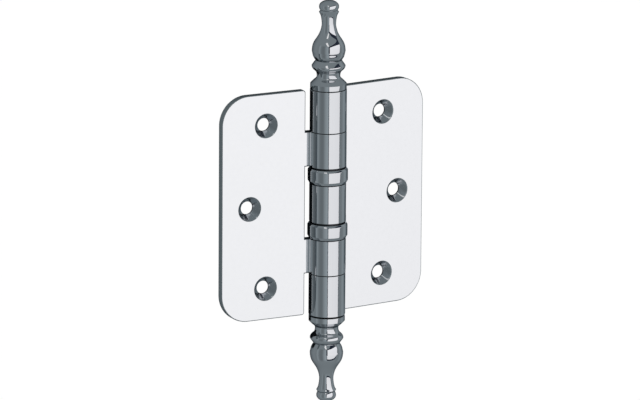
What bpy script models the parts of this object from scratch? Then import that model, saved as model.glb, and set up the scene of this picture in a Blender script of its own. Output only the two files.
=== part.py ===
"""Ball bearing butt hinge: two leaves, a pin with finials and two thrust ball bearings.

Metres, +Z up along the pin. The origin is the middle of the frame leaf's fixing face, with
+Y out of the back of that leaf and +X away from the pin.
"""
import math

import bmesh
import bpy
from mathutils import Matrix, Vector

# Leaves
LEAF_HEIGHT = 0.1020
LEAF_REACH = 0.0510
LEAF_GAUGE = 0.0037
FACE_SETBACK = 0.0013
CORNER_RADIUS = 0.0127
INNER_CORNER_RADIUS = 0.0012
EDGE_BREAK = 0.00035
REST_OPENING = math.radians(186.3)

# Screw holes, three to a leaf, the middle one set further out
HOLE_RADIUS = 0.0029
COUNTERSINK_RADIUS = 0.00545
COUNTERSINK_HALF_ANGLE = math.radians(41)
END_HOLE_REACH = 0.0296
END_HOLE_HEIGHT = 0.03685
MIDDLE_HOLE_REACH = 0.0375

# Pin, knuckles and the gaps between pieces
PIN_RADIUS = 0.00415
RUNNING_GAP = 0.0003
MIDDLE_KNUCKLE_HEIGHT = 0.0170
DOOR_KNUCKLE_HEIGHT = 0.0157
KNUCKLE_CHAMFER = 0.0003
STUD_RADIUS = 0.0030
STUD_LENGTH = 0.0090
PIN_CHAMFER = 0.0005

# Bearings, with the skirt's foot and rim drawn in to meet the knuckles
BEARING_HEIGHT = 0.0079
SKIRT_PROUD = 0.00075
SKIRT_WALL = 0.0010
SKIRT_FOOT_HEIGHT = 0.0013
SKIRT_RIM_HEIGHT = 0.0009
SKIRT_RIM_SETBACK = 0.0006
RECESS_HEIGHT = 0.0008
NOTCH_ROOM = 0.0015
BALL_RADIUS = 0.0010
BALL_COUNT = 12
BALL_GAP = 0.0002
POCKET_GAP = 0.00025
GROOVE_DEPTH = 0.0005
CAGE_THICKNESS = 0.0008

# Finials, each height measured from the collar's seat
COLLAR_STEP = 0.0001
COLLAR_HEIGHT = 0.0023
COVE_RADIUS = 0.0052
COVE_HEIGHT = 0.0061
RING_RADIUS = 0.00745
RING_HEIGHT = 0.0101
WAIST_RADIUS = 0.0058
WAIST_HEIGHT = 0.0127
BULB_RADIUS = 0.0074
BULB_HEIGHT = 0.0174
NECK_RADIUS = 0.00315
NECK_HEIGHT = 0.0291
LIP_RADIUS = 0.0044
LIP_HEIGHT = 0.0343
BUTTON_NECK_RADIUS = 0.00385
BUTTON_NECK_HEIGHT = 0.0351
BUTTON_RADIUS = 0.0044
BUTTON_HEIGHT = 0.0368
FINIAL_HEIGHT = 0.0396

# The lower finial is a part turn short of its seat
UPPER_FINIAL_GAP = 0.0003
LOWER_FINIAL_GAP = 0.0007

# Facets round each turned piece
BARREL_FACETS = 36
FINIAL_FACETS = 24
BEARING_FACETS = 32
HOLE_FACETS = 24
POCKET_FACETS = 10

# Edges sharper than this stay crisp when shaded
SHARP_ANGLE = math.radians(32)

# What follows from the sizes above
BORE_RADIUS = PIN_RADIUS + RUNNING_GAP
BARREL_RADIUS = BORE_RADIUS + LEAF_GAUGE
BACK_SETBACK = FACE_SETBACK + LEAF_GAUGE
SKIRT_RADIUS = BARREL_RADIUS + SKIRT_PROUD
COLLAR_RADIUS = BARREL_RADIUS - COLLAR_STEP
NOTCH_REACH = SKIRT_RADIUS + NOTCH_ROOM
TAB_REACH = BORE_RADIUS + RUNNING_GAP
FIXING_REACH = (NOTCH_REACH + LEAF_REACH) / 2
HALF_HEIGHT = LEAF_HEIGHT / 2
MIDDLE_KNUCKLE_TOP = MIDDLE_KNUCKLE_HEIGHT / 2
DOOR_KNUCKLE_BOTTOM = MIDDLE_KNUCKLE_TOP + BEARING_HEIGHT
DOOR_KNUCKLE_TOP = DOOR_KNUCKLE_BOTTOM + DOOR_KNUCKLE_HEIGHT
END_KNUCKLE_BOTTOM = DOOR_KNUCKLE_TOP + RUNNING_GAP
RACE_RADIUS = SKIRT_RADIUS - SKIRT_WALL - RUNNING_GAP
PITCH_RADIUS = (BORE_RADIUS + RACE_RADIUS) / 2

FRAME_KNUCKLES = [
    (END_KNUCKLE_BOTTOM, HALF_HEIGHT),
    (-MIDDLE_KNUCKLE_TOP, MIDDLE_KNUCKLE_TOP),
    (-HALF_HEIGHT, -END_KNUCKLE_BOTTOM),
]
DOOR_KNUCKLES = [
    (DOOR_KNUCKLE_BOTTOM, DOOR_KNUCKLE_TOP),
    (-DOOR_KNUCKLE_TOP, -DOOR_KNUCKLE_BOTTOM),
]


def material(name, colour, metallic, roughness):
    """A Principled material with one colour, metallic value and roughness."""
    result = bpy.data.materials.new(name)
    result.use_nodes = True
    shader = result.node_tree.nodes["Principled BSDF"]
    shader.inputs["Base Color"].default_value = (*colour, 1.0)
    shader.inputs["Metallic"].default_value = metallic
    shader.inputs["Roughness"].default_value = roughness
    return result


def shade(mesh):
    """Smooth shading, but for edges sharper than a turned piece's facets."""
    mesh.shade_smooth()
    mesh.set_sharp_from_angle(angle=SHARP_ANGLE)


def new_object(name, bm, parent=None, finish=None):
    """Put a bmesh in the scene as an object."""
    bmesh.ops.recalc_face_normals(bm, faces=bm.faces)
    mesh = bpy.data.meshes.new(name)
    bm.to_mesh(mesh)
    bm.free()
    shade(mesh)
    if finish:
        mesh.materials.append(finish)
    result = bpy.data.objects.new(name, mesh)
    bpy.context.scene.collection.objects.link(result)
    result.parent = parent
    return result


def add_boolean(obj, operation, guide):
    """Join or cut obj with a guide, which is no part of the hinge itself."""
    modifier = obj.modifiers.new(guide.name, "BOOLEAN")
    modifier.operation = operation
    modifier.solver = "EXACT"
    modifier.object = guide
    guide.hide_render = True
    guide.display_type = "WIRE"


def keep_result(obj):
    """Make what the modifiers give the object's own mesh, and remove their guides."""
    bpy.context.view_layer.update()
    evaluated = obj.evaluated_get(bpy.context.evaluated_depsgraph_get())
    mesh = bpy.data.meshes.new_from_object(evaluated)
    guides = [modifier.object for modifier in obj.modifiers if modifier.type == "BOOLEAN"]
    obj.modifiers.clear()
    obj.data = mesh
    shade(mesh)
    for guide in guides:
        bpy.data.objects.remove(guide)


def turned_mesh(profile, facets):
    """Turn a closed outline of (radius, height) points about Z."""
    bm = bmesh.new()
    points = [bm.verts.new((radius, 0.0, height)) for radius, height in profile]
    edges = []
    for index, point in enumerate(points):
        following = points[(index + 1) % len(points)]
        on_axis = point.co.x == 0 and following.co.x == 0
        if not on_axis:
            edges.append(bm.edges.new((point, following)))
    bmesh.ops.spin(
        bm,
        geom=points + edges,
        cent=(0, 0, 0),
        axis=(0, 0, 1),
        angle=2 * math.pi,
        steps=facets,
        use_merge=True,
    )
    bmesh.ops.remove_doubles(bm, verts=bm.verts, dist=1e-7)
    return bm


def arc(centre, radius, start, end, steps):
    """Points on a round arc, from one angle to another."""
    points = []
    for step in range(steps + 1):
        angle = start + (end - start) * step / steps
        points.append((centre[0] + radius * math.cos(angle), centre[1] + radius * math.sin(angle)))
    return points


def smooth_through(points, steps):
    """Points on a Catmull-Rom curve through the given ones."""
    padded = [points[0]] + points + [points[-1]]
    curve = [points[0]]
    for before, start, end, after in zip(padded, padded[1:], padded[2:], padded[3:]):
        for step in range(1, steps + 1):
            t = step / steps
            weights = (
                -0.5 * t + t**2 - 0.5 * t**3,
                1 - 2.5 * t**2 + 1.5 * t**3,
                0.5 * t + 2 * t**2 - 1.5 * t**3,
                -0.5 * t**2 + 0.5 * t**3,
            )
            corners = (before, start, end, after)
            curve.append(tuple(sum(w * c[axis] for w, c in zip(weights, corners)) for axis in (0, 1)))
    return curve


def rounded_corner(corner, before, after, radius, steps):
    """Points that round an outline's corner, square or not, between its two neighbours."""
    corner = Vector(corner)
    to_before = (Vector(before) - corner).normalized()
    to_after = (Vector(after) - corner).normalized()
    half = to_before.angle(to_after) / 2
    centre = corner + (to_before + to_after).normalized() * radius / math.sin(half)
    start = corner + to_before * radius / math.tan(half) - centre
    end = corner + to_after * radius / math.tan(half) - centre
    turn = start.angle_signed(end)
    points = []
    for step in range(steps + 1):
        spoke = start.copy()
        spoke.rotate(Matrix.Rotation(-turn * step / steps, 2))
        points.append(tuple(centre + spoke))
    return points


def plate_outline(knuckles):
    """The leaf's outline in reach and height: a plate with a tab for each of its knuckles."""
    corners = [
        ((LEAF_REACH, HALF_HEIGHT), CORNER_RADIUS, 10),
        ((LEAF_REACH, -HALF_HEIGHT), CORNER_RADIUS, 10),
    ]
    ends_free = knuckles[0][1] < HALF_HEIGHT
    if ends_free:
        corners.append(((NOTCH_REACH, -HALF_HEIGHT), INNER_CORNER_RADIUS, 3))
    for bottom, top in reversed(knuckles):
        if bottom > -HALF_HEIGHT:
            corners.append(((NOTCH_REACH, bottom), 0.0, 0))
        corners.append(((TAB_REACH, bottom), 0.0, 0))
        corners.append(((TAB_REACH, top), 0.0, 0))
        if top < HALF_HEIGHT:
            corners.append(((NOTCH_REACH, top), 0.0, 0))
    if ends_free:
        corners.append(((NOTCH_REACH, HALF_HEIGHT), INNER_CORNER_RADIUS, 3))
    outline = []
    for index, (corner, radius, steps) in enumerate(corners):
        if radius:
            before = corners[index - 1][0]
            after = corners[(index + 1) % len(corners)][0]
            outline += rounded_corner(corner, before, after, radius, steps)
        else:
            outline.append(corner)
    return outline


def screw_hole_cutter(name, reach, height, side, parent):
    """A countersunk screw hole, opening at the leaf's front face."""
    depth = (COUNTERSINK_RADIUS - HOLE_RADIUS) / math.tan(COUNTERSINK_HALF_ANGLE)
    spare = LEAF_GAUGE
    profile = [
        (0, -spare),
        (COUNTERSINK_RADIUS + spare * math.tan(COUNTERSINK_HALF_ANGLE), -spare),
        (HOLE_RADIUS, depth),
        (HOLE_RADIUS, LEAF_GAUGE + spare),
        (0, LEAF_GAUGE + spare),
    ]
    cutter = new_object(name, turned_mesh(profile, HOLE_FACETS), parent)
    cutter.location = (side * reach, FACE_SETBACK, height)
    cutter.rotation_euler = (math.radians(-90), 0, 0)
    return cutter


def leaf(name, side, knuckles, parent, finish):
    """One leaf in a single piece: a plate on the +X or -X side, its knuckles and its holes."""
    bm = bmesh.new()
    outline = plate_outline(knuckles)
    ring = [bm.verts.new((side * reach, FACE_SETBACK, height)) for reach, height in outline]
    face = bm.faces.new(ring)
    extruded = bmesh.ops.extrude_face_region(bm, geom=[face])
    moved = [item for item in extruded["geom"] if isinstance(item, bmesh.types.BMVert)]
    bmesh.ops.translate(bm, vec=(0, LEAF_GAUGE, 0), verts=moved)
    result = new_object(name, bm, parent, finish)

    rounding = result.modifiers.new("edge_break", "BEVEL")
    rounding.width = EDGE_BREAK
    rounding.segments = 1
    rounding.limit_method = "ANGLE"
    rounding.angle_limit = math.radians(60)

    for number, (bottom, top) in enumerate(knuckles, 1):
        profile = [
            (BORE_RADIUS, bottom),
            (BARREL_RADIUS - KNUCKLE_CHAMFER, bottom),
            (BARREL_RADIUS, bottom + KNUCKLE_CHAMFER),
            (BARREL_RADIUS, top - KNUCKLE_CHAMFER),
            (BARREL_RADIUS - KNUCKLE_CHAMFER, top),
            (BORE_RADIUS, top),
        ]
        knuckle = new_object(f"{name}_knuckle_{number}", turned_mesh(profile, BARREL_FACETS), parent)
        add_boolean(result, "UNION", knuckle)

    places = [
        ("upper", END_HOLE_REACH, END_HOLE_HEIGHT),
        ("middle", MIDDLE_HOLE_REACH, 0.0),
        ("lower", END_HOLE_REACH, -END_HOLE_HEIGHT),
    ]
    for place, reach, height in places:
        cutter = screw_hole_cutter(f"{name}_{place}_hole", reach, height, side, parent)
        add_boolean(result, "DIFFERENCE", cutter)
    keep_result(result)
    return result


def hinge_pin(parent, finish):
    """The pin, from end to end of the barrel, with a reduced stud at each end."""
    end = HALF_HEIGHT
    tip = end + STUD_LENGTH
    upper = [
        (PIN_RADIUS, end - PIN_CHAMFER),
        (PIN_RADIUS - PIN_CHAMFER, end),
        (STUD_RADIUS, end),
        (STUD_RADIUS, tip - PIN_CHAMFER),
        (STUD_RADIUS - PIN_CHAMFER, tip),
        (0, tip),
    ]
    lower = [(radius, -height) for radius, height in reversed(upper)]
    return new_object("hinge_pin", turned_mesh(lower + upper, BARREL_FACETS), parent, finish)


def between(start, end, radius_share, height_share):
    """A point part of the way from one (radius, height) to another."""
    radius = start[0] + (end[0] - start[0]) * radius_share
    height = start[1] + (end[1] - start[1]) * height_share
    return radius, height


def button_profile():
    """A flattened ball on a neck, from the neck up to the finial's tip."""
    neck_angle = math.acos(BUTTON_NECK_RADIUS / BUTTON_RADIUS)
    below = (BUTTON_HEIGHT - BUTTON_NECK_HEIGHT) / math.sin(neck_angle)
    above = FINIAL_HEIGHT - BUTTON_HEIGHT
    lower = arc((0, 0), 1, -neck_angle, 0, 3)
    upper = arc((0, 0), 1, 0, math.radians(90), 5)
    points = [(BUTTON_RADIUS * x, BUTTON_HEIGHT + below * y) for x, y in lower]
    points += [(BUTTON_RADIUS * x, BUTTON_HEIGHT + above * y) for x, y in upper[1:-1]]
    return points + [(0, FINIAL_HEIGHT)]


def finial_profile():
    """The finial's outline, from its stud bore round the outside and back to the axis."""
    bore = STUD_RADIUS + RUNNING_GAP
    seat = [
        (0, STUD_LENGTH),
        (bore, STUD_LENGTH),
        (bore, 0),
        (COLLAR_RADIUS - KNUCKLE_CHAMFER, 0),
        (COLLAR_RADIUS, KNUCKLE_CHAMFER),
    ]
    collar = (COLLAR_RADIUS, COLLAR_HEIGHT)
    cove = (COVE_RADIUS, COVE_HEIGHT)
    ring = (RING_RADIUS, RING_HEIGHT)
    waist = (WAIST_RADIUS, WAIST_HEIGHT)
    bulb = (BULB_RADIUS, BULB_HEIGHT)
    neck = (NECK_RADIUS, NECK_HEIGHT)
    lip = (LIP_RADIUS, LIP_HEIGHT)
    collar_to_ring = [
        collar,
        between(collar, cove, 0.44, 0.34),
        between(collar, cove, 0.92, 0.68),
        cove,
        between(cove, ring, 0.19, 0.38),
        between(cove, ring, 0.79, 0.72),
        ring,
        between(ring, waist, 0.12, 0.24),
    ]
    waist_to_lip = [
        waist,
        between(waist, bulb, 0.56, 0.38),
        between(waist, bulb, 0.88, 0.70),
        bulb,
        between(bulb, neck, 0.14, 0.25),
        between(bulb, neck, 0.66, 0.56),
        between(bulb, neck, 0.90, 0.77),
        neck,
        between(neck, lip, 0.36, 0.66),
        lip,
    ]
    return seat + smooth_through(collar_to_ring, 2) + smooth_through(waist_to_lip, 2) + button_profile()


def finial(name, side, gap, parent, finish):
    """A turned finial on the pin's upper or lower stud, standing off the barrel by a gap."""
    result = new_object(name, turned_mesh(finial_profile(), FINIAL_FACETS), parent, finish)
    result.location.z = side * (HALF_HEIGHT + gap)
    if side < 0:
        result.rotation_euler.x = math.pi
    return result


def groove(ball_height, side):
    """A ball groove's section, below the balls for side -1 and above them for side 1."""
    radius = BALL_RADIUS + BALL_GAP
    spread = math.acos(1 - GROOVE_DEPTH / radius)
    middle = side * math.radians(90)
    return arc((PITCH_RADIUS, ball_height), radius, middle + spread, middle - spread, 4)


def bearing_cup(name, seat, parent, finish):
    """The lower race, with a floor, a ball groove and a skirt that hides the balls."""
    ball_height = seat + BEARING_HEIGHT / 2
    floor_top = ball_height - BALL_RADIUS - BALL_GAP + GROOVE_DEPTH
    bottom = seat + RUNNING_GAP
    rim = seat + BEARING_HEIGHT - RECESS_HEIGHT
    inner = SKIRT_RADIUS - SKIRT_WALL
    profile = [
        (BORE_RADIUS, bottom),
        (BARREL_RADIUS, bottom),
        (SKIRT_RADIUS, bottom + SKIRT_FOOT_HEIGHT),
        (SKIRT_RADIUS, rim - SKIRT_RIM_HEIGHT),
        (SKIRT_RADIUS - SKIRT_RIM_SETBACK, rim),
        (inner, rim),
        (inner, floor_top),
    ]
    profile += groove(ball_height, -1)
    profile.append((BORE_RADIUS, floor_top))
    return new_object(name, turned_mesh(profile, BEARING_FACETS), parent, finish)


def bearing_race(name, seat, parent, finish):
    """The upper race, a grooved ring under the knuckle above."""
    ball_height = seat + BEARING_HEIGHT / 2
    underside = ball_height + BALL_RADIUS + BALL_GAP - GROOVE_DEPTH
    top = seat + BEARING_HEIGHT - RUNNING_GAP
    profile = [(BORE_RADIUS, top), (BORE_RADIUS, underside)]
    profile += groove(ball_height, 1)
    profile += [(RACE_RADIUS, underside), (RACE_RADIUS, top)]
    return new_object(name, turned_mesh(profile, BEARING_FACETS), parent, finish)


def ball_places():
    """The turn about the axis of each ball, and of its pocket in the cage."""
    return [Matrix.Rotation(2 * math.pi * number / BALL_COUNT, 4, "Z") for number in range(BALL_COUNT)]


def bearing_cage(name, seat, parent, finish):
    """A thin ring between the races, with a round pocket for each ball."""
    half = CAGE_THICKNESS / 2
    profile = [(BORE_RADIUS, -half), (RACE_RADIUS, -half), (RACE_RADIUS, half), (BORE_RADIUS, half)]
    result = new_object(name, turned_mesh(profile, BEARING_FACETS), parent, finish)
    result.location.z = seat + BEARING_HEIGHT / 2

    pocket = BALL_RADIUS + POCKET_GAP
    pockets = bmesh.new()
    for turn in ball_places():
        bmesh.ops.create_cone(
            pockets,
            cap_ends=True,
            segments=POCKET_FACETS,
            radius1=pocket,
            radius2=pocket,
            depth=CAGE_THICKNESS * 2,
            matrix=turn @ Matrix.Translation((PITCH_RADIUS, 0, 0)),
        )
    cutter = new_object(f"{name}_pockets", pockets, parent)
    cutter.location = result.location
    add_boolean(result, "DIFFERENCE", cutter)
    keep_result(result)
    return result


def bearing_balls(name, seat, parent, finish):
    """A ring of separate balls, one in each pocket of the cage."""
    place = Vector((PITCH_RADIUS, 0, seat + BEARING_HEIGHT / 2))
    for number, turn in enumerate(ball_places(), 1):
        bm = bmesh.new()
        bmesh.ops.create_icosphere(bm, subdivisions=2, radius=BALL_RADIUS)
        ball = new_object(f"{name}_ball_{number:02d}", bm, parent, finish)
        ball.location = turn @ place


def empty(name, parent=None):
    """A frame on the pin's axis that carries one moving body."""
    result = bpy.data.objects.new(name, None)
    result.empty_display_size = 0.01
    bpy.context.scene.collection.objects.link(result)
    result.parent = parent
    return result


def build():
    """Clear the scene and put the hinge together round its pin axis."""
    for obj in list(bpy.data.objects):
        bpy.data.objects.remove(obj)

    chrome = material("polished_chrome", (0.78, 0.79, 0.81), 1.0, 0.08)
    steel = material("ground_steel", (0.56, 0.57, 0.58), 1.0, 0.22)
    oiled_steel = material("oiled_steel", (0.10, 0.105, 0.11), 1.0, 0.30)
    ball_steel = material("ball_steel", (0.70, 0.71, 0.72), 1.0, 0.10)
    brass = material("cage_brass", (0.72, 0.52, 0.22), 1.0, 0.30)

    pin_axis = empty("pin_axis")
    pin_axis.location = (-FIXING_REACH, -BACK_SETBACK, 0)
    door_swing = empty("door_swing", pin_axis)
    door_swing.rotation_euler.z = math.pi - REST_OPENING
    pin_spin = empty("pin_spin", pin_axis)

    leaf("frame_leaf", 1, FRAME_KNUCKLES, pin_axis, chrome)
    leaf("door_leaf", -1, DOOR_KNUCKLES, door_swing, chrome)
    hinge_pin(pin_spin, steel)
    finial("finial_top", 1, UPPER_FINIAL_GAP, pin_spin, chrome)
    finial("finial_bottom", -1, LOWER_FINIAL_GAP, pin_spin, chrome)

    upper_seat = MIDDLE_KNUCKLE_TOP
    lower_seat = -DOOR_KNUCKLE_BOTTOM
    bearings = [
        ("upper_bearing", upper_seat, pin_axis, door_swing),
        ("lower_bearing", lower_seat, door_swing, pin_axis),
    ]
    for name, seat, below, above in bearings:
        cage_turn = empty(f"{name}_turn", pin_axis)
        bearing_cup(f"{name}_cup", seat, below, chrome)
        bearing_race(f"{name}_race", seat, above, oiled_steel)
        bearing_cage(f"{name}_cage", seat, cage_turn, brass)
        bearing_balls(name, seat, cage_turn, ball_steel)


build()
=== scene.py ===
"""Looks for the ball bearing hinge: its pieces in chrome, steel and brass, and their studio.

Pieces are made round the pin's axis, in metres, and then moved to where the frame has that axis.
"""
import math

import bmesh
import bpy
from mathutils import Matrix, Vector


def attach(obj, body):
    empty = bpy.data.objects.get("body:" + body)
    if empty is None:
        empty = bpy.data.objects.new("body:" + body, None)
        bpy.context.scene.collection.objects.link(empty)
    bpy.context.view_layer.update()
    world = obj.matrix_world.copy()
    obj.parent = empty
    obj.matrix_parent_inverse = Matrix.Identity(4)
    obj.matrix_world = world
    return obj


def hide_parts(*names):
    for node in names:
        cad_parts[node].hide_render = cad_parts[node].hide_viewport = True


# Leaves
LEAF_HEIGHT = 0.1020
LEAF_REACH = 0.0510
LEAF_GAUGE = 0.0037
FACE_SETBACK = 0.0013
CORNER_RADIUS = 0.0127
INNER_CORNER_RADIUS = 0.0012
EDGE_RADIUS = 0.00050
REST_OPENING = math.radians(186.3)

# Screw holes
HOLE_RADIUS = 0.0029
COUNTERSINK_RADIUS = 0.00545
COUNTERSINK_HALF_ANGLE = math.radians(41)
COUNTERSINK_RIM = 0.00012
CHATTER_DEPTH = 0.000045
CHATTER_COUNT = 9
END_HOLE_REACH = 0.0296
END_HOLE_HEIGHT = 0.03685
MIDDLE_HOLE_REACH = 0.0375

# Pin, knuckles and the gaps between pieces
PIN_RADIUS = 0.00415
RUNNING_GAP = 0.0003
MIDDLE_KNUCKLE_HEIGHT = 0.0170
DOOR_KNUCKLE_HEIGHT = 0.0157
KNUCKLE_EDGE = 0.00015
PIN_CHAMFER = 0.0005

# Studs, the thread's section in shares of its pitch and depth
STUD_RADIUS = 0.0030
STUD_LENGTH = 0.0090
THREAD_PITCH = 0.0010
THREAD_DEPTH = 0.00045
THREAD_SECTION = [(0.0, 0.0), (0.42, 1.0), (0.58, 1.0), (1.0, 0.0)]

# Bearings
BEARING_HEIGHT = 0.0079
SKIRT_PROUD = 0.00075
SKIRT_WALL = 0.0010
SKIRT_FOOT_HEIGHT = 0.0013
SKIRT_RIM_HEIGHT = 0.0009
SKIRT_RIM_SETBACK = 0.0006
SKIRT_EDGE = 0.00022
RECESS_HEIGHT = 0.0008
NOTCH_ROOM = 0.0015
BALL_RADIUS = 0.0010
BALL_COUNT = 12
BALL_GAP = 0.0002
POCKET_GAP = 0.00025
GROOVE_DEPTH = 0.0005
CAGE_THICKNESS = 0.0008

# Finials, each height measured from the collar's seat
COLLAR_STEP = 0.0001
COLLAR_HEIGHT = 0.0023
COVE_RADIUS = 0.0052
COVE_HEIGHT = 0.0061
RING_RADIUS = 0.00745
RING_HEIGHT = 0.0101
WAIST_RADIUS = 0.0058
WAIST_HEIGHT = 0.0127
BULB_RADIUS = 0.0074
BULB_HEIGHT = 0.0174
NECK_RADIUS = 0.00315
NECK_HEIGHT = 0.0291
LIP_RADIUS = 0.0044
LIP_HEIGHT = 0.0343
BUTTON_NECK_RADIUS = 0.00385
BUTTON_NECK_HEIGHT = 0.0351
BUTTON_RADIUS = 0.0044
BUTTON_HEIGHT = 0.0368
FINIAL_HEIGHT = 0.0396
UPPER_FINIAL_GAP = 0.0003
LOWER_FINIAL_GAP = 0.0007

# Facets round each turned piece
BARREL_FACETS = 180
FINIAL_FACETS = 144
BEARING_FACETS = 144
HOLE_FACETS = 120
PIN_FACETS = 96
CAGE_FACETS = 96
THREAD_FACETS = 48
POCKET_FACETS = 32
BALL_DIVISIONS = 4

# Steps along each curve
CORNER_STEPS = 32
INNER_CORNER_STEPS = 8
EDGE_STEPS = 5
BEVEL_STEPS = 4
CONE_STEPS = 8
CURVE_STEPS = 8
GROOVE_STEPS = 12
BUTTON_LOWER_STEPS = 8
BUTTON_UPPER_STEPS = 20
THREAD_START_STEPS = 12

# How faces are told apart and shaded
SHARP_ANGLE = math.radians(32)
BEVEL_ANGLE = math.radians(60)
NORMAL_WEIGHT = 90
MERGE_DISTANCE = 1e-7
TOLERANCE = 1e-5
END_MARGIN = 1e-3
ROUND_FACING = 0.999
FLAT_FACING = 0.9999
BACK_FACING = 0.5
EDGE_FACING = 0.85
HOLE_FACING = -0.9
WALL_FACING = -0.1

# What follows from the sizes above
BORE_RADIUS = PIN_RADIUS + RUNNING_GAP
BARREL_RADIUS = BORE_RADIUS + LEAF_GAUGE
BACK_SETBACK = FACE_SETBACK + LEAF_GAUGE
SKIRT_RADIUS = BARREL_RADIUS + SKIRT_PROUD
COLLAR_RADIUS = BARREL_RADIUS - COLLAR_STEP
NOTCH_REACH = SKIRT_RADIUS + NOTCH_ROOM
TAB_REACH = BORE_RADIUS + RUNNING_GAP
FIXING_REACH = (NOTCH_REACH + LEAF_REACH) / 2
HALF_HEIGHT = LEAF_HEIGHT / 2
MIDDLE_KNUCKLE_TOP = MIDDLE_KNUCKLE_HEIGHT / 2
DOOR_KNUCKLE_BOTTOM = MIDDLE_KNUCKLE_TOP + BEARING_HEIGHT
DOOR_KNUCKLE_TOP = DOOR_KNUCKLE_BOTTOM + DOOR_KNUCKLE_HEIGHT
END_KNUCKLE_BOTTOM = DOOR_KNUCKLE_TOP + RUNNING_GAP
RACE_RADIUS = SKIRT_RADIUS - SKIRT_WALL - RUNNING_GAP
PITCH_RADIUS = (BORE_RADIUS + RACE_RADIUS) / 2
PIN_AXIS = Vector((-FIXING_REACH, -BACK_SETBACK, 0.0))
DOOR_SWING = Matrix.Rotation(math.pi - REST_OPENING, 4, "Z")

FRAME_KNUCKLES = [
    (END_KNUCKLE_BOTTOM, HALF_HEIGHT),
    (-MIDDLE_KNUCKLE_TOP, MIDDLE_KNUCKLE_TOP),
    (-HALF_HEIGHT, -END_KNUCKLE_BOTTOM),
]
DOOR_KNUCKLES = [
    (DOOR_KNUCKLE_BOTTOM, DOOR_KNUCKLE_TOP),
    (-DOOR_KNUCKLE_TOP, -DOOR_KNUCKLE_BOTTOM),
]
HOLE_PLACES = [
    (END_HOLE_REACH, END_HOLE_HEIGHT),
    (MIDDLE_HOLE_REACH, 0.0),
    (END_HOLE_REACH, -END_HOLE_HEIGHT),
]

# Metals
METALS = {
    "face_chrome": {
        "colour": (0.845, 0.851, 0.856),
        "roughness": 0.06,
        "wander": 0.02,
        "ripple": 3.0e-6,
        "ripple_scale": 140,
    },
    "polished_chrome": {
        "colour": (0.69, 0.70, 0.715),
        "roughness": 0.05,
        "wander": 0.02,
        "ripple": 4.0e-6,
        "ripple_scale": 170,
        # rim: painted shade that darkens the finials' outlines
        "rim": 0.8,
    },
    "barrel_chrome": {
        "colour": (0.69, 0.70, 0.715),
        "roughness": 0.07,
        "wander": 0.03,
        "ripple": 1.2e-5,
        "ripple_scale": 330,
        "stretch": (1, 1, 0.03),
    },
    "satin_chrome": {
        "colour": (0.78, 0.79, 0.80),
        "roughness": 0.36,
        "wander": 0.06,
        "ripple": 1.2e-5,
        "ripple_scale": 500,
    },
    "sheared_edge": {
        "colour": (0.52, 0.55, 0.55),
        "roughness": 0.30,
        "wander": 0.08,
        "ripple": 1.0e-5,
        "ripple_scale": 600,
        "stretch": (1, 0.3, 1),
    },
    "machined_chrome": {
        "colour": (0.58, 0.60, 0.62),
        "roughness": 0.12,
        "wander": 0.06,
        "ripple": 1.0e-5,
        "ripple_scale": 900,
        # rim: painted shade that darkens the countersinks' outlines
        "rim": 0.9,
    },
    # Near-black and dull, for the walls of the screw holes and notches: painted shade
    "painted_shade_wall": {
        "colour": (0.07, 0.075, 0.08),
        "roughness": 0.40,
        "wander": 0.08,
        "ripple": 1.0e-5,
        "ripple_scale": 900,
    },
    "ground_steel": {
        "colour": (0.56, 0.57, 0.58),
        "roughness": 0.22,
        "wander": 0.05,
        "ripple": 6.0e-6,
        "ripple_scale": 700,
        "stretch": (1, 1, 0.2),
    },
    # Near-black steel for the upper races: painted shade in the gap above each bearing cup
    "oiled_steel": {
        "colour": (0.055, 0.058, 0.062),
        "roughness": 0.30,
        "wander": 0.06,
        "ripple": 6.0e-6,
        "ripple_scale": 700,
        "stretch": (1, 1, 0.2),
    },
    "ball_steel": {
        "colour": (0.70, 0.71, 0.72),
        "roughness": 0.08,
        "wander": 0.02,
        "ripple": 1.0e-7,
        "ripple_scale": 900,
    },
    "cage_brass": {
        "colour": (0.72, 0.52, 0.22),
        "roughness": 0.30,
        "wander": 0.08,
        "ripple": 1.0e-5,
        "ripple_scale": 600,
    },
}

# The finishes of a leaf, and the number of each in its mesh
LEAF_FINISHES = [
    "face_chrome",
    "satin_chrome",
    "sheared_edge",
    "barrel_chrome",
    "machined_chrome",
    "painted_shade_wall",
]
FACE, BACK, CUT_EDGE, BARREL, COUNTERSINK, PAINTED_SHADE_WALL = range(6)

# How much a metal still reflects where it's seen nearly edge on, set low, and how its rim darkens:
# painted shade that draws dark outlines along its edges
EDGE_SHADE_TINT = (0.38, 0.42, 0.45, 1.0)
RIM_SHADE_COLOUR = (0.02, 0.024, 0.028, 1)
RIM_BLEND = 0.5
RIM_POWER = 4.0

# The noise that a metal's roughness, colour and ripples follow
GRAIN_FINENESS = 4
GRAIN_DETAIL = 4
GRAIN_SPAN = (0.3, 0.7)
RIPPLE_DETAIL = 1

# Camera
CAMERA_AZIMUTH = math.radians(32.82)
CAMERA_ELEVATION = math.radians(14.057)
CAMERA_ROLL = math.radians(-0.4127)
CAMERA_DISTANCE = 2.976
CAMERA_LENS = 379.7
SENSOR_WIDTH = 36
AIM_RIGHT = 0.003340
AIM_UP = 0.000576

# Floor and overhead lamp
FLOOR_DEPTH = 0.82
FLOOR_SIZE = 40
FLOOR_COLOUR = (0.95, 0.95, 0.95, 1)
FLOOR_GLOW = 1.02
FLOOR_GLOW_SHARE = 0.80
OVERHEAD_PLACE = Vector((-0.5, -0.7, 1.1))
OVERHEAD_SIZE = 0.6
OVERHEAD_POWER = 2.0

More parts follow.
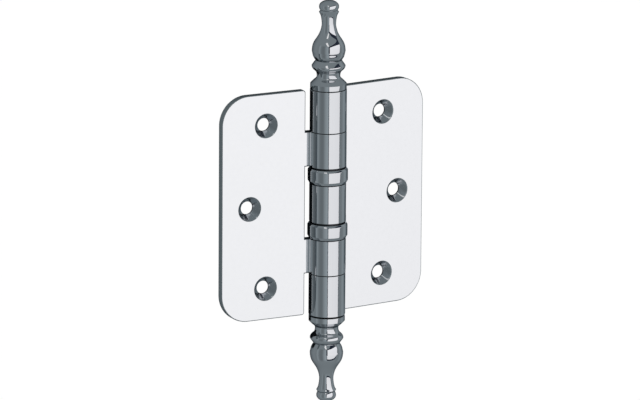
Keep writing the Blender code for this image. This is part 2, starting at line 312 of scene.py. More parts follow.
# Cards and room for the metal to reflect, measured from the pin's axis
TENT_RADIUS = 1.60
TENT_HEIGHT = 1.3
TENT_CLEARANCE = 0.01
TENT_FACETS = 96
SOFTBOX = [
    (-0.378, -0.734, -0.58),
    (0.750, -1.010, -0.58),
    (1.150, -0.606, 0.70),
    (-0.378, -0.734, 0.357),
]
SOFTBOX_FRAME = [
    (-0.45, -0.765, -0.80),
    (0.74, -1.04, -0.80),
    (1.30, -0.52, 1.01),
    (-0.45, -0.765, 0.54),
]
SOFTBOX_STRIP = [
    (-0.45, -0.69, -0.08),
    (-0.279, -0.75, -0.08),
    (-0.279, -0.75, 0.54),
    (-0.45, -0.69, 0.54),
]
LAMP = [
    (-0.42, -0.50, 0.44),
    (-0.30, -0.56, 0.44),
    (-0.42, -0.46, 0.86),
    (-0.60, -0.33, 0.86),
]
POST_SETBACK = 0.040
POST_LEFT = -0.030
POST_RIGHT = 0.003
POST_BOTTOM = -0.064
POST_TOP = 0.042

# The glow of each card, at its left edge and at its right
SOFTBOX_GLOW = ((1.11, 1.11, 1.13), (1.04, 1.04, 1.07))
SOFTBOX_TOP_GAIN = 0.20
NAVY_GLOW = ((0.010, 0.014, 0.030), (0.030, 0.040, 0.060))
LAMP_GLOW = ((1.0, 1.0, 1.0), (1.0, 1.0, 1.0))
POST_GLOW = ((0.006, 0.007, 0.008), (0.006, 0.007, 0.008))

# How bright the room looks along its walls, by degrees to the right of the camera
ROOM_BANDS = [
    (-180, 0.10),
    (-162, 0.12),
    (-148, 0.24),
    (-98, 0.27),
    (-76, 0.24),
    (-66, 0.34),
    (-52, 0.22),
    (-40, 0.19),
    (-29, 0.20),
    (-18, 0.32),
    (-4, 0.40),
    (20, 0.40),
    (84, 0.24),
    (97, 0.26),
    (112, 0.36),
    (130, 0.33),
    (160, 0.30),
    (172, 0.12),
    (180, 0.10),
]
ROOM_TINT = (0.87, 1.0, 1.07)

# The even grey over and under the bands, and the slopes between which it takes over
ROOM_GREY = 0.26
GREY_ABOVE = (0.42, 0.60)
GREY_BELOW = (-0.60, -0.80)


def link(obj):
    """Put an object in the scene."""
    bpy.context.scene.collection.objects.link(obj)
    return obj


def shade(mesh):
    """Shade a mesh smooth, apart from its sharp edges."""
    mesh.shade_smooth()
    mesh.set_sharp_from_angle(angle=SHARP_ANGLE)


def mesh_object(name, bm):
    """Put a bmesh in the scene as an object."""
    bmesh.ops.recalc_face_normals(bm, faces=bm.faces)
    mesh = bpy.data.meshes.new(name)
    bm.to_mesh(mesh)
    bm.free()
    shade(mesh)
    return link(bpy.data.objects.new(name, mesh))


def turned_mesh(profile, facets):
    """Turn a closed outline of (radius, height) points about Z."""
    bm = bmesh.new()
    points = [bm.verts.new((radius, 0.0, height)) for radius, height in profile]
    edges = []
    for index, point in enumerate(points):
        following = points[(index + 1) % len(points)]
        on_axis = point.co.x == 0 and following.co.x == 0
        if not on_axis:
            edges.append(bm.edges.new((point, following)))
    bmesh.ops.spin(
        bm,
        geom=points + edges,
        cent=(0, 0, 0),
        axis=(0, 0, 1),
        angle=2 * math.pi,
        steps=facets,
        use_merge=True,
    )
    bmesh.ops.remove_doubles(bm, verts=bm.verts, dist=MERGE_DISTANCE)
    return bm


def arc(centre, radius, start, end, steps):
    """Points on a round arc, from one angle to another."""
    points = []
    for step in range(steps + 1):
        angle = start + (end - start) * step / steps
        points.append((centre[0] + radius * math.cos(angle), centre[1] + radius * math.sin(angle)))
    return points


def between(start, end, radius_share, height_share):
    """A point part of the way from one (radius, height) to another."""
    radius = start[0] + (end[0] - start[0]) * radius_share
    height = start[1] + (end[1] - start[1]) * height_share
    return radius, height


def smooth_through(points, steps):
    """Points on a Catmull-Rom curve through the given ones."""
    padded = [points[0]] + points + [points[-1]]
    curve = [points[0]]
    for corners in zip(padded, padded[1:], padded[2:], padded[3:]):
        for step in range(1, steps + 1):
            t = step / steps
            weights = (
                -0.5 * t + t**2 - 0.5 * t**3,
                1 - 2.5 * t**2 + 1.5 * t**3,
                0.5 * t + 2 * t**2 - 1.5 * t**3,
                -0.5 * t**2 + 0.5 * t**3,
            )
            radius, height = (sum(w * c[axis] for w, c in zip(weights, corners)) for axis in (0, 1))
            curve.append((radius, height))
    return curve


def rounded_corner(corner, before, after, radius, steps):
    """Points that round an outline's corner between its two neighbours."""
    corner = Vector(corner)
    to_before = (Vector(before) - corner).normalized()
    to_after = (Vector(after) - corner).normalized()
    half = to_before.angle(to_after) / 2
    centre = corner + (to_before + to_after).normalized() * radius / math.sin(half)
    start = corner + to_before * radius / math.tan(half) - centre
    end = corner + to_after * radius / math.tan(half) - centre
    turn = start.angle_signed(end)
    points = []
    for step in range(steps + 1):
        spoke = start.copy()
        spoke.rotate(Matrix.Rotation(-turn * step / steps, 2))
        points.append(tuple(centre + spoke))
    return points


def rounded_outline(corners):
    """A closed outline from (point, radius, steps) corners, those with a radius rounded."""
    outline = []
    for index, (corner, radius, steps) in enumerate(corners):
        if radius:
            before = corners[index - 1][0]
            after = corners[(index + 1) % len(corners)][0]
            outline += rounded_corner(corner, before, after, radius, steps)
        else:
            outline.append(corner)
    return outline


def rounded_profile(corners):
    """A turned piece's closed outline from (point, radius) corners."""
    return rounded_outline([(corner, radius, EDGE_STEPS) for corner, radius in corners])


def plate_outline(knuckles):
    """The leaf's outline in reach and height: a plate with a tab for each of its knuckles."""
    corners = [
        ((LEAF_REACH, HALF_HEIGHT), CORNER_RADIUS, CORNER_STEPS),
        ((LEAF_REACH, -HALF_HEIGHT), CORNER_RADIUS, CORNER_STEPS),
    ]
    ends_free = knuckles[0][1] < HALF_HEIGHT
    if ends_free:
        corners.append(((NOTCH_REACH, -HALF_HEIGHT), INNER_CORNER_RADIUS, INNER_CORNER_STEPS))
    for bottom, top in reversed(knuckles):
        if bottom > -HALF_HEIGHT:
            corners.append(((NOTCH_REACH, bottom), 0.0, 0))
        corners.append(((TAB_REACH, bottom), 0.0, 0))
        corners.append(((TAB_REACH, top), 0.0, 0))
        if top < HALF_HEIGHT:
            corners.append(((NOTCH_REACH, top), 0.0, 0))
    if ends_free:
        corners.append(((NOTCH_REACH, HALF_HEIGHT), INNER_CORNER_RADIUS, INNER_CORNER_STEPS))
    return rounded_outline(corners)


def add_boolean(obj, operation, guide):
    """Join or cut obj with a guide, which is no part of the hinge itself."""
    modifier = obj.modifiers.new(guide.name, "BOOLEAN")
    modifier.operation = operation
    modifier.solver = "EXACT"
    modifier.object = guide


def keep_result(obj):
    """Make what the modifiers give the object's own mesh, and remove their guides."""
    bpy.context.view_layer.update()
    evaluated = obj.evaluated_get(bpy.context.evaluated_depsgraph_get())
    mesh = bpy.data.meshes.new_from_object(evaluated)
    guides = [modifier.object for modifier in obj.modifiers if modifier.type == "BOOLEAN"]
    obj.modifiers.clear()
    obj.data = mesh
    for guide in guides:
        bpy.data.objects.remove(guide)


def chattered(bm, depth, count):
    """Ripple the middle of a countersink's cone, as a chattering cutter leaves it."""
    for vert in bm.verts:
        reach = math.hypot(vert.co.x, vert.co.y)
        share = (reach - HOLE_RADIUS) / (COUNTERSINK_RADIUS - HOLE_RADIUS)
        if 0 < share < 1:
            angle = math.atan2(vert.co.y, vert.co.x)
            scale = 1 + depth * math.sin(math.pi * share) / reach * math.sin(count * angle)
            vert.co.x *= scale
            vert.co.y *= scale


def screw_hole_cutter(name, reach, height, side):
    """A countersunk screw hole with a broken rim, opening at the leaf's front face."""
    depth = (COUNTERSINK_RADIUS - HOLE_RADIUS) / math.tan(COUNTERSINK_HALF_ANGLE)
    spare = LEAF_GAUGE
    rim = (COUNTERSINK_RADIUS - COUNTERSINK_RIM / 2, COUNTERSINK_RIM)
    profile = [
        (0, -spare),
        (COUNTERSINK_RADIUS + COUNTERSINK_RIM + spare, -spare),
        (COUNTERSINK_RADIUS + COUNTERSINK_RIM, 0),
        rim,
    ]
    for step in range(1, CONE_STEPS + 1):
        share = step / CONE_STEPS
        profile.append(between(rim, (HOLE_RADIUS, depth), share, share))
    profile += [(HOLE_RADIUS, LEAF_GAUGE + spare), (0, LEAF_GAUGE + spare)]
    bm = turned_mesh(profile, HOLE_FACETS)
    chattered(bm, CHATTER_DEPTH, CHATTER_COUNT)
    cutter = mesh_object(name, bm)
    cutter.location = (side * reach, FACE_SETBACK, height)
    cutter.rotation_euler = (math.radians(-90), 0, 0)
    return cutter


def knuckle_profile(bottom, top):
    """A knuckle's wall, with its outer edges rounded."""
    return rounded_profile(
        [
            ((BORE_RADIUS, bottom), 0),
            ((BARREL_RADIUS, bottom), KNUCKLE_EDGE),
            ((BARREL_RADIUS, top), KNUCKLE_EDGE),
            ((BORE_RADIUS, top), 0),
        ]
    )


def on_the_barrel(polygon):
    """Whether a face belongs to a knuckle's round outside."""
    centre = Vector(polygon.center[:2])
    radial = centre.length and abs(polygon.normal.xy.dot(centre.normalized())) > ROUND_FACING
    return radial and abs(centre.length - BARREL_RADIUS) < TOLERANCE


def finish_normals(obj):
    """Flat plate faces and a truly round barrel, with the rounded edges shaded between them."""
    shade(obj.data)
    weighting = obj.modifiers.new("weighting", "WEIGHTED_NORMAL")
    weighting.keep_sharp = True
    weighting.weight = NORMAL_WEIGHT
    keep_result(obj)
    mesh = obj.data
    normals = [tuple(corner.vector) for corner in mesh.corner_normals]
    for polygon in mesh.polygons:
        if on_the_barrel(polygon):
            for loop in polygon.loop_indices:
                place = mesh.vertices[mesh.loops[loop].vertex_index].co
                normals[loop] = tuple(Vector((place.x, place.y, 0)).normalized())
        elif abs(polygon.normal.y) > FLAT_FACING:
            for loop in polygon.loop_indices:
                normals[loop] = tuple(polygon.normal)
    mesh.normals_split_custom_set(normals)


def in_a_hole(place, side):
    """Whether a point of a leaf lies on the wall of one of its screw holes."""
    for reach, height in HOLE_PLACES:
        if math.hypot(place.x - side * reach, place.z - height) < COUNTERSINK_RADIUS - TOLERANCE:
            return True
    return False


def leaf_finish(polygon, side):
    """The number of the finish that a leaf has on one of its faces."""
    place = polygon.center
    facing = polygon.normal.y
    if place.xy.length < BARREL_RADIUS + TOLERANCE:
        return BARREL
    if facing > BACK_FACING:
        return BACK
    # Hole walls and notch walls take the near-black finish, which is painted shade
    if facing > HOLE_FACING and in_a_hole(place, side):
        return PAINTED_SHADE_WALL if facing > WALL_FACING else COUNTERSINK
    if abs(facing) < EDGE_FACING:
        in_a_notch = abs(place.x) < NOTCH_REACH + TOLERANCE
        return PAINTED_SHADE_WALL if in_a_notch and abs(place.z) < HALF_HEIGHT - END_MARGIN else CUT_EDGE
    return FACE


def leaf(name, side, knuckles, finishes):
    """One leaf: a plate on the +X or -X side, its knuckles and its holes."""
    bm = bmesh.new()
    outline = plate_outline(knuckles)
    ring = [bm.verts.new((side * reach, FACE_SETBACK, height)) for reach, height in outline]
    face = bm.faces.new(ring)
    extruded = bmesh.ops.extrude_face_region(bm, geom=[face])
    moved = [item for item in extruded["geom"] if isinstance(item, bmesh.types.BMVert)]
    bmesh.ops.translate(bm, vec=(0, LEAF_GAUGE, 0), verts=moved)
    result = mesh_object(f"{name}_chrome", bm)

    rounding = result.modifiers.new("edge_round", "BEVEL")
    rounding.width = EDGE_RADIUS
    rounding.segments = BEVEL_STEPS
    rounding.limit_method = "ANGLE"
    rounding.angle_limit = BEVEL_ANGLE

    for number, (bottom, top) in enumerate(knuckles, 1):
        bm = turned_mesh(knuckle_profile(bottom, top), BARREL_FACETS)
        add_boolean(result, "UNION", mesh_object(f"{name}_knuckle_{number}", bm))

    for number, (reach, height) in enumerate(HOLE_PLACES, 1):
        cutter = screw_hole_cutter(f"{name}_hole_{number}", reach, height, side)
        add_boolean(result, "DIFFERENCE", cutter)
    keep_result(result)
    finish_normals(result)

    for finish in finishes:
        result.data.materials.append(finish)
    for polygon in result.data.polygons:
        polygon.material_index = leaf_finish(polygon, side)
    return result


def threaded_stud(bm, end, side):
    """A stud's helical thread, from the pin's shoulder out to its tip."""
    rings = []
    steps = int(STUD_LENGTH / THREAD_PITCH * THREAD_FACETS)
    for step in range(steps + 1):
        angle = 2 * math.pi * step / THREAD_FACETS
        ring = []
        for along, rise in THREAD_SECTION:
            turns = step / THREAD_FACETS + along - 0.5
            height = min(max(turns * THREAD_PITCH, 0.0), STUD_LENGTH)
            fade = min(1.0, (STUD_LENGTH - height) / PIN_CHAMFER, step / THREAD_START_STEPS)
            radius = STUD_RADIUS - THREAD_DEPTH * (1 - rise * fade)
            place = (radius * math.cos(angle), radius * math.sin(angle), side * (end + height))
            ring.append(bm.verts.new(place))
        rings.append(ring)
    for ring, following in zip(rings, rings[1:]):
        for lower in range(len(THREAD_SECTION) - 1):
            bm.faces.new((ring[lower], following[lower], following[lower + 1], ring[lower + 1]))


def hinge_pin(finish):
    """The pin, with a threaded stud at each end for the finials."""
    end = HALF_HEIGHT
    tip = end + STUD_LENGTH
    root = STUD_RADIUS - THREAD_DEPTH
    upper = [
        (PIN_RADIUS, end - PIN_CHAMFER),
        (PIN_RADIUS - PIN_CHAMFER, end),
        (root, end),
        (root, tip - PIN_CHAMFER),
        (root - PIN_CHAMFER, tip),
        (0, tip),
    ]
    lower = [(radius, -height) for radius, height in reversed(upper)]
    bm = turned_mesh(lower + upper, PIN_FACETS)
    for side in (-1, 1):
        threaded_stud(bm, end, side)
    result = mesh_object("hinge_pin_steel", bm)
    result.data.materials.append(finish)
    return result


def button_profile():
    """A flattened ball on a neck, from the neck up to the finial's tip."""
    neck_angle = math.acos(BUTTON_NECK_RADIUS / BUTTON_RADIUS)
    below = (BUTTON_HEIGHT - BUTTON_NECK_HEIGHT) / math.sin(neck_angle)
    above = FINIAL_HEIGHT - BUTTON_HEIGHT
    lower = arc((0, 0), 1, -neck_angle, 0, BUTTON_LOWER_STEPS)
    upper = arc((0, 0), 1, 0, math.radians(90), BUTTON_UPPER_STEPS)
    points = [(BUTTON_RADIUS * x, BUTTON_HEIGHT + below * y) for x, y in lower]
    points += [(BUTTON_RADIUS * x, BUTTON_HEIGHT + above * y) for x, y in upper[1:-1]]
    return points + [(0, FINIAL_HEIGHT)]


def finial_profile():
    """The finial's outline, from its stud bore round the outside and back to the axis."""
    bore = STUD_RADIUS + RUNNING_GAP
    edge = (COLLAR_RADIUS - KNUCKLE_EDGE, KNUCKLE_EDGE)
    seat = [(0, STUD_LENGTH), (bore, STUD_LENGTH), (bore, 0)]
    seat += arc(edge, KNUCKLE_EDGE, math.radians(-90), 0, EDGE_STEPS)
    collar = (COLLAR_RADIUS, COLLAR_HEIGHT)
    cove = (COVE_RADIUS, COVE_HEIGHT)
    ring = (RING_RADIUS, RING_HEIGHT)
    waist = (WAIST_RADIUS, WAIST_HEIGHT)
    bulb = (BULB_RADIUS, BULB_HEIGHT)
    neck = (NECK_RADIUS, NECK_HEIGHT)
    lip = (LIP_RADIUS, LIP_HEIGHT)
    collar_to_ring = [
        collar,
        between(collar, cove, 0.44, 0.34),
        between(collar, cove, 0.92, 0.68),
        cove,
        between(cove, ring, 0.19, 0.38),
        between(cove, ring, 0.79, 0.72),
        ring,
        between(ring, waist, 0.12, 0.24),
    ]
    waist_to_lip = [
        waist,
        between(waist, bulb, 0.62, 0.36),
        between(waist, bulb, 0.88, 0.70),
        bulb,
        between(bulb, neck, 0.14, 0.25),
        between(bulb, neck, 0.66, 0.56),
        between(bulb, neck, 0.90, 0.77),
        neck,
        between(neck, lip, 0.36, 0.66),
        lip,
    ]
    lower = smooth_through(collar_to_ring, CURVE_STEPS)
    upper = smooth_through(waist_to_lip, CURVE_STEPS)
    return seat + lower + upper + button_profile()


def finial(name, side, gap, finish):
    """A turned finial on the pin's upper or lower stud, standing off the barrel by a gap."""
    result = mesh_object(f"{name}_chrome", turned_mesh(finial_profile(), FINIAL_FACETS))
    result.location.z = side * (HALF_HEIGHT + gap)
    if side < 0:
        result.rotation_euler.x = math.pi
    result.data.materials.append(finish)
    return result


def groove(ball_height, side):
    """A ball groove's section, below the balls for side -1 and above them for side 1."""
    radius = BALL_RADIUS + BALL_GAP
    spread = math.acos(1 - GROOVE_DEPTH / radius)
    middle = side * math.radians(90)
    return arc((PITCH_RADIUS, ball_height), radius, middle + spread, middle - spread, GROOVE_STEPS)


def bearing_cup(name, seat, finish):
    """The lower race, with a floor, a ball groove and a rounded skirt that hides the balls."""
    ball_height = seat + BEARING_HEIGHT / 2
    floor_top = ball_height - BALL_RADIUS - BALL_GAP + GROOVE_DEPTH
    bottom = seat + RUNNING_GAP
    rim = seat + BEARING_HEIGHT - RECESS_HEIGHT
    inner = SKIRT_RADIUS - SKIRT_WALL
    outside = rounded_profile(
        [
            ((BORE_RADIUS, bottom), 0),
            ((BARREL_RADIUS, bottom), SKIRT_EDGE),
            ((SKIRT_RADIUS, bottom + SKIRT_FOOT_HEIGHT), SKIRT_EDGE * 2),
            ((SKIRT_RADIUS, rim - SKIRT_RIM_HEIGHT), SKIRT_EDGE * 2),
            ((SKIRT_RADIUS - SKIRT_RIM_SETBACK, rim), SKIRT_EDGE / 2),
            ((inner, rim), 0),
        ]
    )
    profile = outside + [(inner, floor_top)] + groove(ball_height, -1) + [(BORE_RADIUS, floor_top)]
    result = mesh_object(f"{name}_chrome", turned_mesh(profile, BEARING_FACETS))
    result.data.materials.append(finish)
    return result


def bearing_race(name, seat, finish):
    """The upper race, a grooved ring under the knuckle above."""
    ball_height = seat + BEARING_HEIGHT / 2
    underside = ball_height + BALL_RADIUS + BALL_GAP - GROOVE_DEPTH
    top = seat + BEARING_HEIGHT - RUNNING_GAP
    profile = [(BORE_RADIUS, top), (BORE_RADIUS, underside)]
    profile += groove(ball_height, 1)
    profile += [(RACE_RADIUS, underside), (RACE_RADIUS, top)]
    result = mesh_object(f"{name}_steel", turned_mesh(profile, BEARING_FACETS))
    result.data.materials.append(finish)
    return result


def ball_places():
    """The turn about the axis of each ball, and of its pocket in the cage."""
    angles = [2 * math.pi * number / BALL_COUNT for number in range(BALL_COUNT)]
    return [Matrix.Rotation(angle, 4, "Z") for angle in angles]


def bearing_cage(name, seat, finish):
    """A thin ring between the races, with a round pocket for each ball."""
    half = CAGE_THICKNESS / 2
    profile = [(BORE_RADIUS, -half), (RACE_RADIUS, -half), (RACE_RADIUS, half), (BORE_RADIUS, half)]
    result = mesh_object(f"{name}_brass", turned_mesh(profile, CAGE_FACETS))
    result.location.z = seat + BEARING_HEIGHT / 2
    pocket = BALL_RADIUS + POCKET_GAP
    pockets = bmesh.new()
    for turn in ball_places():
        bmesh.ops.create_cone(
            pockets,
            cap_ends=True,
            segments=POCKET_FACETS,
            radius1=pocket,
            radius2=pocket,
            depth=CAGE_THICKNESS * 2,
            matrix=turn @ Matrix.Translation((PITCH_RADIUS, 0, 0)),
        )
    cutter = mesh_object(f"{name}_pockets", pockets)
    cutter.location = result.location
    add_boolean(result, "DIFFERENCE", cutter)
    keep_result(result)
    result.data.materials.append(finish)
    return result


def ball(name, seat, turn, finish):
    """One bearing ball in its pocket."""
    bm = bmesh.new()
    bmesh.ops.create_icosphere(bm, subdivisions=BALL_DIVISIONS, radius=BALL_RADIUS)
    result = mesh_object(f"{name}_steel", bm)
    result.location = turn @ Vector((PITCH_RADIUS, 0, seat + BEARING_HEIGHT / 2))
    result.data.materials.append(finish)
    return result


def feed(links, socket, value):
    """Feed a socket from another one, or set it to a plain value."""
    if isinstance(value, bpy.types.NodeSocket):
        links.new(value, socket)
    else:
        socket.default_value = value


def math_node(nodes, links, operation, *values):
    """A Math node fed by sockets or plain numbers, and its output."""
    node = nodes.new("ShaderNodeMath")
    node.operation = operation
    for socket, value in zip(node.inputs, values):
        feed(links, socket, value)
    return node.outputs[0]


def colour_mix(nodes, links, share, first, second):
    """A mix of two colours, each a socket or a plain colour, and its output."""
    node = nodes.new("ShaderNodeMix")
    node.data_type = "RGBA"
    feed(links, node.inputs["Factor"], share)
    feed(links, node.inputs["A"], first)
    feed(links, node.inputs["B"], second)
    return node.outputs["Result"]


def spread(nodes, links, value, source, target=(0.0, 1.0)):
    """A value taken from one span to another, and held at its ends."""
    node = nodes.new("ShaderNodeMapRange")
    node.inputs["From Min"].default_value = source[0]
    node.inputs["From Max"].default_value = source[1]
    node.inputs["To Min"].default_value = target[0]
    node.inputs["To Max"].default_value = target[1]
    links.new(value, node.inputs["Value"])
    return node.outputs["Result"]


def noise(nodes, links, place, scale, detail):
    """A noise that follows a place, and its output."""
    node = nodes.new("ShaderNodeTexNoise")
    node.inputs["Scale"].default_value = scale
    node.inputs["Detail"].default_value = detail
    links.new(place, node.inputs["Vector"])
    return node.outputs["Fac"]


def metal(name, colour, roughness, wander, ripple, ripple_scale, stretch=(1, 1, 1), rim=0.0):
    """A metal whose roughness and colour wander a little, rippled, with painted shade darkening its
    rim.
    """
    material = bpy.data.materials.new(name)
    material.use_nodes = True
    nodes = material.node_tree.nodes
    links = material.node_tree.links
    shader = nodes["Principled BSDF"]
    shader.inputs["Metallic"].default_value = 1.0
    # The dark edge tint is painted shade along the edges seen nearly edge on
    shader.inputs["Specular Tint"].default_value = EDGE_SHADE_TINT

    place = nodes.new("ShaderNodeTexCoord")
    mapping = nodes.new("ShaderNodeMapping")
    mapping.inputs["Scale"].default_value = stretch
    links.new(place.outputs["Object"], mapping.inputs["Vector"])
    stretched = mapping.outputs["Vector"]

    grain = noise(nodes, links, stretched, ripple_scale * GRAIN_FINENESS, GRAIN_DETAIL)
    limits = (roughness - wander, roughness + wander)
    links.new(spread(nodes, links, grain, GRAIN_SPAN, limits), shader.inputs["Roughness"])

    duller = (*[value * (1 - 2 * wander) for value in colour], 1)
    tint = colour_mix(nodes, links, grain, duller, (*colour, 1))
    # Painted shade: the colour darkens towards the rim, where the surface turns away
    if rim:
        angle = nodes.new("ShaderNodeLayerWeight")
        angle.inputs["Blend"].default_value = RIM_BLEND
        edge = math_node(nodes, links, "POWER", angle.outputs["Facing"], RIM_POWER)
        share = math_node(nodes, links, "MULTIPLY", edge, rim)
        tint = colour_mix(nodes, links, share, tint, RIM_SHADE_COLOUR)
    links.new(tint, shader.inputs["Base Color"])

    bump = nodes.new("ShaderNodeBump")
    bump.inputs["Strength"].default_value = 1.0
    bump.inputs["Distance"].default_value = ripple
    waves = noise(nodes, links, stretched, ripple_scale, RIPPLE_DETAIL)
    links.new(waves, bump.inputs["Height"])
    links.new(bump.outputs["Normal"], shader.inputs["Normal"])
    return material


def glowing(name):
    """A material for the stage that is still without nodes, and its nodes and links."""
    material = bpy.data.materials.new(name)
    material.use_nodes = True
    material.cycles.emission_sampling = "NONE"
    nodes = material.node_tree.nodes
    nodes.clear()
    return material, nodes, material.node_tree.links


def emit(nodes, links, colour, strength):
    """Make a material glow in a colour, at a strength."""
    glow = nodes.new("ShaderNodeEmission")
    feed(links, glow.inputs["Color"], colour)
    feed(links, glow.inputs["Strength"], strength)
    output = nodes.new("ShaderNodeOutputMaterial")
    links.new(glow.outputs["Emission"], output.inputs["Surface"])


def room_material():
    """The room's dim walls, brighter and darker round the camera as ROOM_BANDS says."""
    material, nodes, links = glowing("room")
    place = nodes.new("ShaderNodeTexCoord")
    split = nodes.new("ShaderNodeSeparateXYZ")
    links.new(place.outputs["Object"], split.inputs["Vector"])
    ahead = math_node(nodes, links, "MULTIPLY", split.outputs["Y"], -1.0)
    bearing = math_node(nodes, links, "ARCTAN2", split.outputs["X"], ahead)
    turn = math_node(nodes, links, "DIVIDE", bearing, 2 * math.pi)
    share = math_node(nodes, links, "ADD", turn, 0.5)
    bands = nodes.new("ShaderNodeValToRGB")
    links.new(share, bands.inputs["Fac"])
    stops = bands.color_ramp.elements
    for index, (degrees, value) in enumerate(ROOM_BANDS):
        position = (degrees + 180) / 360
        stop = stops[index] if index < 2 else stops.new(position)
        stop.position = position
        stop.color = (*[value * tint for tint in ROOM_TINT], 1)

    reach = nodes.new("ShaderNodeVectorMath")
    reach.operation = "LENGTH"
    links.new(place.outputs["Object"], reach.inputs[0])
    slope = math_node(nodes, links, "DIVIDE", split.outputs["Z"], reach.outputs["Value"])
    above = spread(nodes, links, slope, GREY_ABOVE)
    below = spread(nodes, links, slope, GREY_BELOW)
    away = math_node(nodes, links, "MAXIMUM", above, below)
    grey = (*[ROOM_GREY * tint for tint in ROOM_TINT], 1)
    emit(nodes, links, colour_mix(nodes, links, away, bands.outputs["Color"], grey), 1.0)
    return material


def card_material(name, glow, top_gain=0.0):
    """A card that glows from one colour at its left edge to another at its right."""
    material, nodes, links = glowing(name)
    left, right = glow
    place = nodes.new("ShaderNodeTexCoord")
    split = nodes.new("ShaderNodeSeparateXYZ")
    links.new(place.outputs["Generated"], split.inputs["Vector"])
    colour = colour_mix(nodes, links, split.outputs["X"], (*left, 1), (*right, 1))
    gain = math_node(nodes, links, "MULTIPLY", split.outputs["Z"], top_gain)
    emit(nodes, links, colour, math_node(nodes, links, "ADD", gain, 1.0 - top_gain / 2))
    return material


def reflected_only(obj):
    """Keep a stage piece out of everything but reflections."""
    obj.visible_camera = False
    obj.visible_diffuse = False
    obj.visible_shadow = False
    obj.visible_transmission = False
    obj.visible_volume_scatter = False


def card(name, corners, material, opening=None):
    """A card for the metal to reflect, whole or with a four-cornered opening in its middle."""
    mesh = bpy.data.meshes.new(name)
    faces = [(0, 1, 2, 3)]
    if opening:
        corners = corners + opening
        faces = [(0, 1, 5, 4), (1, 2, 6, 5), (2, 3, 7, 6), (3, 0, 4, 7)]
    mesh.from_pydata(corners, [], faces)
    mesh.materials.append(material)
    result = link(bpy.data.objects.new(name, mesh))
    result.location = PIN_AXIS
    reflected_only(result)


def room():
    """A dim round room with one large softbox, seen only in reflections."""
    bm = bmesh.new()
    bmesh.ops.create_cone(
        bm,
        cap_ends=True,
        segments=TENT_FACETS,
        radius1=TENT_RADIUS,
        radius2=TENT_RADIUS,
        depth=TENT_HEIGHT + FLOOR_DEPTH - TENT_CLEARANCE,
        matrix=Matrix.Translation((0, 0, (TENT_HEIGHT - FLOOR_DEPTH + TENT_CLEARANCE) / 2)),
    )
    tent = mesh_object("room", bm)
    tent.location = PIN_AXIS
    tent.rotation_euler.z = -CAMERA_AZIMUTH
    tent.data.materials.append(room_material())
    reflected_only(tent)

    navy = card_material("softbox_frame", NAVY_GLOW)
    card("softbox", SOFTBOX, card_material("softbox", SOFTBOX_GLOW, SOFTBOX_TOP_GAIN))
    card("softbox_frame", SOFTBOX_FRAME, navy, SOFTBOX)
    card("softbox_strip", SOFTBOX_STRIP, navy)
    card("lamp", LAMP, card_material("lamp", LAMP_GLOW))
    post = [
        (POST_LEFT, POST_SETBACK, POST_BOTTOM),
        (POST_RIGHT, POST_SETBACK, POST_BOTTOM),
        (POST_RIGHT, POST_SETBACK, POST_TOP),
        (POST_LEFT, POST_SETBACK, POST_TOP),
    ]
    card("post", post, card_material("post", POST_GLOW))


def backdrop_white(material):
    """White where it's seen or reflected, and a pale surface that takes shadows."""
    nodes = material.node_tree.nodes
    links = material.node_tree.links
    nodes.clear()
    path = nodes.new("ShaderNodeLightPath")
    camera_ray = path.outputs["Is Camera Ray"]
    seen = math_node(nodes, links, "MAXIMUM", camera_ray, path.outputs["Is Glossy Ray"])
    shown = math_node(nodes, links, "MAXIMUM", seen, path.outputs["Is Transmission Ray"])
    share = math_node(nodes, links, "MULTIPLY", shown, FLOOR_GLOW_SHARE)
    pale = nodes.new("ShaderNodeBsdfDiffuse")
    pale.inputs["Color"].default_value = FLOOR_COLOUR
    glow = nodes.new("ShaderNodeEmission")
    glow.inputs["Color"].default_value = (1, 1, 1, 1)
    glow.inputs["Strength"].default_value = FLOOR_GLOW
    mix = nodes.new("ShaderNodeMixShader")
    links.new(share, mix.inputs[0])
    links.new(pale.outputs[0], mix.inputs[1])
    links.new(glow.outputs[0], mix.inputs[2])
    clear = nodes.new("ShaderNodeBsdfTransparent")
    facing = nodes.new("ShaderNodeNewGeometry")
    from_below = nodes.new("ShaderNodeMixShader")
    links.new(facing.outputs["Backfacing"], from_below.inputs[0])
    links.new(mix.outputs[0], from_below.inputs[1])
    links.new(clear.outputs[0], from_below.inputs[2])
    output = nodes.new("ShaderNodeOutputMaterial")
    links.new(from_below.outputs[0], output.inputs["Surface"])


def studio():
    """The floor, the white surroundings and one soft lamp."""
    bpy.context.scene.view_settings.view_transform = "Standard"
    world = bpy.data.worlds.new("studio")
    world.use_nodes = True
    background = world.node_tree.nodes["Background"]
    background.inputs["Color"].default_value = (1, 1, 1, 1)
    background.inputs["Strength"].default_value = 1.0
    bpy.context.scene.world = world

    bm = bmesh.new()
    bmesh.ops.create_grid(bm, x_segments=1, y_segments=1, size=FLOOR_SIZE)
    floor = mesh_object("floor", bm)
    floor.location.z = -FLOOR_DEPTH
    pale = bpy.data.materials.new("floor")
    pale.use_nodes = True
    backdrop_white(pale)
    floor.data.materials.append(pale)

    lamp = bpy.data.lights.new("overhead", "AREA")
    lamp.shape = "DISK"
    lamp.size = OVERHEAD_SIZE
    lamp.energy = OVERHEAD_POWER
    overhead = link(bpy.data.objects.new("overhead", lamp))
    overhead.location = OVERHEAD_PLACE
    overhead.rotation_euler = (-OVERHEAD_PLACE).to_track_quat("-Z", "Y").to_euler()
    overhead.visible_glossy = False


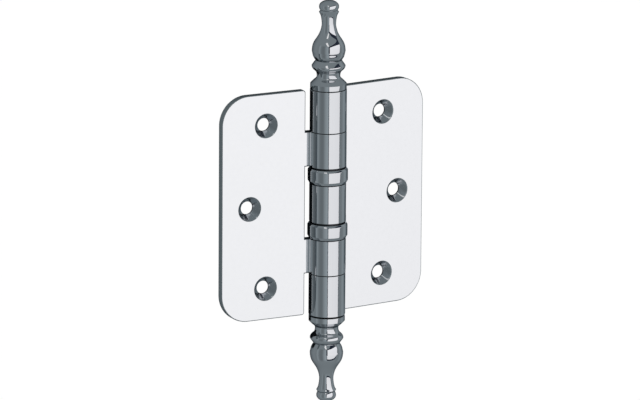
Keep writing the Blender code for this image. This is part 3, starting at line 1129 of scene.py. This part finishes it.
def camera():
    """The photograph's camera, set by its azimuth, elevation and slight roll."""
    ahead = Vector(
        (
            math.sin(CAMERA_AZIMUTH) * math.cos(CAMERA_ELEVATION),
            math.cos(CAMERA_AZIMUTH) * math.cos(CAMERA_ELEVATION),
            -math.sin(CAMERA_ELEVATION),
        )
    )
    right = Vector((math.cos(CAMERA_AZIMUTH), -math.sin(CAMERA_AZIMUTH), 0))
    up = right.cross(ahead)
    aim = PIN_AXIS - right * AIM_RIGHT + up * AIM_UP
    roll = Matrix.Rotation(CAMERA_ROLL, 3, ahead)
    axes = Matrix((roll @ right, roll @ up, -ahead)).transposed()
    data = bpy.data.cameras.new("camera")
    data.lens = CAMERA_LENS
    data.sensor_width = SENSOR_WIDTH
    result = link(bpy.data.objects.new("camera", data))
    result.matrix_world = Matrix.Translation(aim - ahead * CAMERA_DISTANCE) @ axes.to_4x4()
    bpy.context.scene.camera = result


def place_on(piece, node, body):
    """Put a piece made round the pin's axis on its body, in place of the CAD node."""
    turn = DOOR_SWING if body == "door" else Matrix.Identity(4)
    piece.data.transform(turn @ piece.matrix_basis)
    piece.matrix_world = Matrix.Translation(PIN_AXIS)
    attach(piece, body)
    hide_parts(node)


def bearing(where, seat, below, above, finish):
    """A bearing: its cup on the body below, its race on the one above, its cage and its balls."""
    name = f"{where}_bearing"
    cup = bearing_cup(f"{name}_cup", seat, finish["barrel_chrome"])
    place_on(cup, f"{name}_cup", below)
    # The race's near-black finish is painted shade in the gap over the cup
    race = bearing_race(f"{name}_race", seat, finish["oiled_steel"])
    place_on(race, f"{name}_race", above)
    cage = bearing_cage(f"{name}_cage", seat, finish["cage_brass"])
    place_on(cage, f"{name}_cage", f"{where}_cage")
    for number, turn in enumerate(ball_places(), 1):
        node = f"{name}_ball_{number:02d}"
        place_on(ball(node, seat, turn, finish["ball_steel"]), node, f"{where}_cage")


def hinge():
    """Every piece of the hinge, in its finish and on its body."""
    finish = {name: metal(name, **look) for name, look in METALS.items()}
    leaf_finishes = [finish[name] for name in LEAF_FINISHES]
    leaves = [
        ("frame_leaf", 1, FRAME_KNUCKLES, "frame"),
        ("door_leaf", -1, DOOR_KNUCKLES, "door"),
    ]
    for name, side, knuckles, body in leaves:
        place_on(leaf(name, side, knuckles, leaf_finishes), name, body)

    place_on(hinge_pin(finish["ground_steel"]), "hinge_pin", "pin")
    finials = [
        ("finial_top", 1, UPPER_FINIAL_GAP),
        ("finial_bottom", -1, LOWER_FINIAL_GAP),
    ]
    for name, side, gap in finials:
        piece = finial(name, side, gap, finish["polished_chrome"])
        place_on(piece, name, "pin")

    bearing("upper", MIDDLE_KNUCKLE_TOP, "frame", "door", finish)
    bearing("lower", -DOOR_KNUCKLE_BOTTOM, "door", "frame", finish)


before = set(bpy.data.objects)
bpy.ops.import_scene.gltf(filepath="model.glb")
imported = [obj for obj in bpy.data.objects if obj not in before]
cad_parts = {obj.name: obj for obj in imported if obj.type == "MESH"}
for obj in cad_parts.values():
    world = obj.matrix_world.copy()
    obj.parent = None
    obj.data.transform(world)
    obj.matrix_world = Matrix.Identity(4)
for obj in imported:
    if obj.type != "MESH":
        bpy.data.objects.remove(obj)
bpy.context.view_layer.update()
hinge()
room()
studio()
camera()
